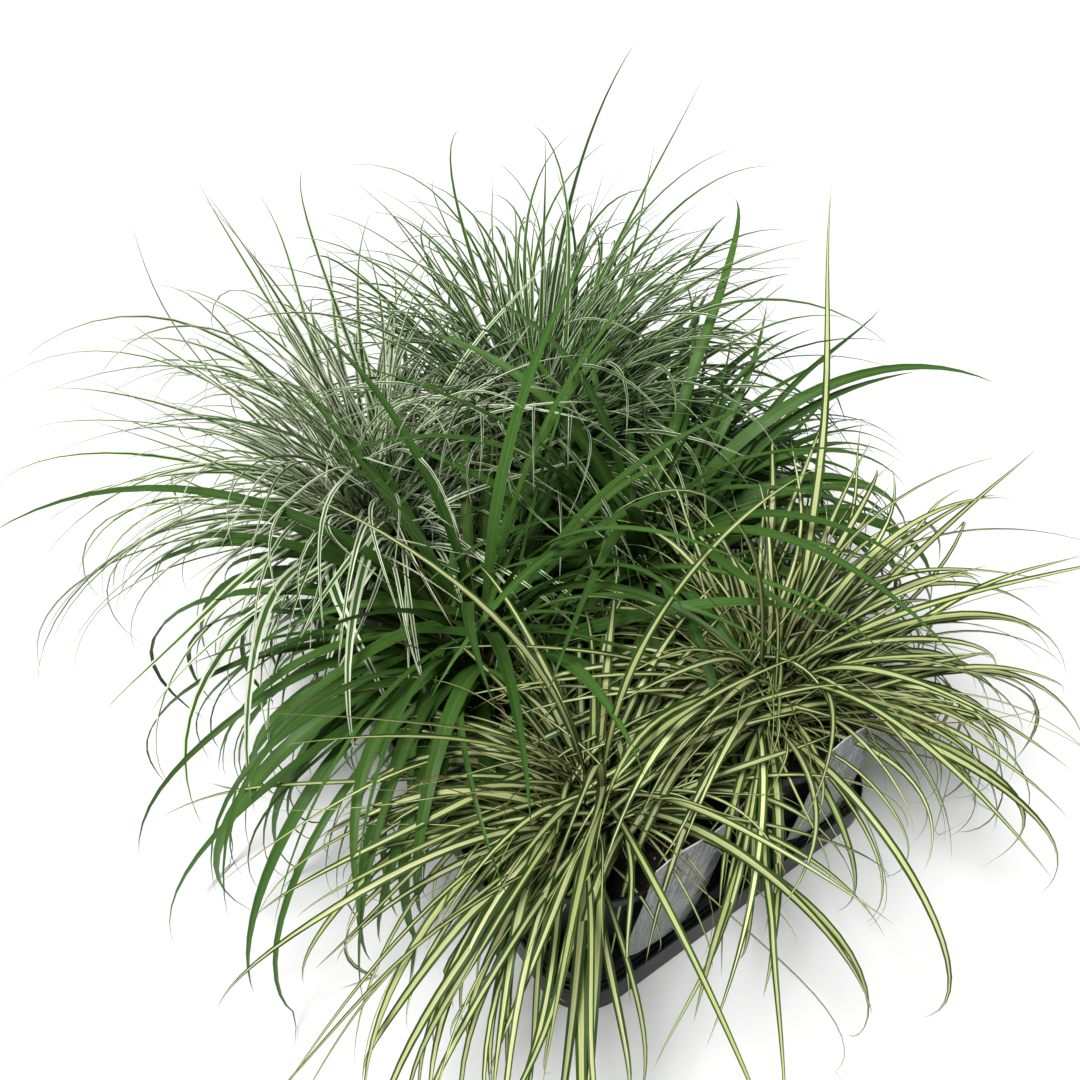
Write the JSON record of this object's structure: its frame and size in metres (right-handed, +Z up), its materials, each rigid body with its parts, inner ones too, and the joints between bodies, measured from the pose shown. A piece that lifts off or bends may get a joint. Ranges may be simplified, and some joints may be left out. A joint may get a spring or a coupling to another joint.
{
  "type": "tray of potted carex sedges",
  "caption": "Black nursery carry tray of potted carex sedges: arching cream-striped clumps in front, broad green ones behind them and fine white-edged ones at the back.",
  "frame": {"origin": "on the surface that the tray stands on, under the middle of the tray", "axes": "+Z up, X along the tray's short side and Y along its long side; the two labels stand at the -Y end"},
  "size_m": [0.6885, 0.7178, 0.4097],
  "materials": {
    "tray": "black thermoformed sheet, semi-gloss, dusty with soil",
    "pot": "black moulded nursery pot, satin",
    "soil": "dark potting mix with bark and a few pale crumbs, matte",
    "label": "bare translucent grey sheet, glossy",
    "leaf_cream": "living blade, cream-yellow centre and dark green edges, satin",
    "leaf_green": "living blade, plain mid green with a folded midrib, satin",
    "leaf_white": "living blade, green with thin white edges, satin"
  },
  "bodies": {
    "root": {"tray": "tray", "pot_front_left": "pot", "pot_front_right": "pot", "pot_middle_left": "pot", "pot_middle_right": "pot", "pot_back_left": "pot", "pot_back_right": "pot", "soil_front_left": "soil", "soil_front_right": "soil", "soil_middle_left": "soil", "soil_middle_right": "soil", "soil_back_left": "soil", "soil_back_right": "soil", "label_left": "label", "label_right": "label", "sedge_cream_front_left": "leaf_cream", "sedge_cream_front_right": "leaf_cream", "sedge_green_middle_left": "leaf_green", "sedge_green_middle_right": "leaf_green", "sedge_white_back_left": "leaf_white", "sedge_white_back_right": "leaf_white"}
  },
  "joints": []
}
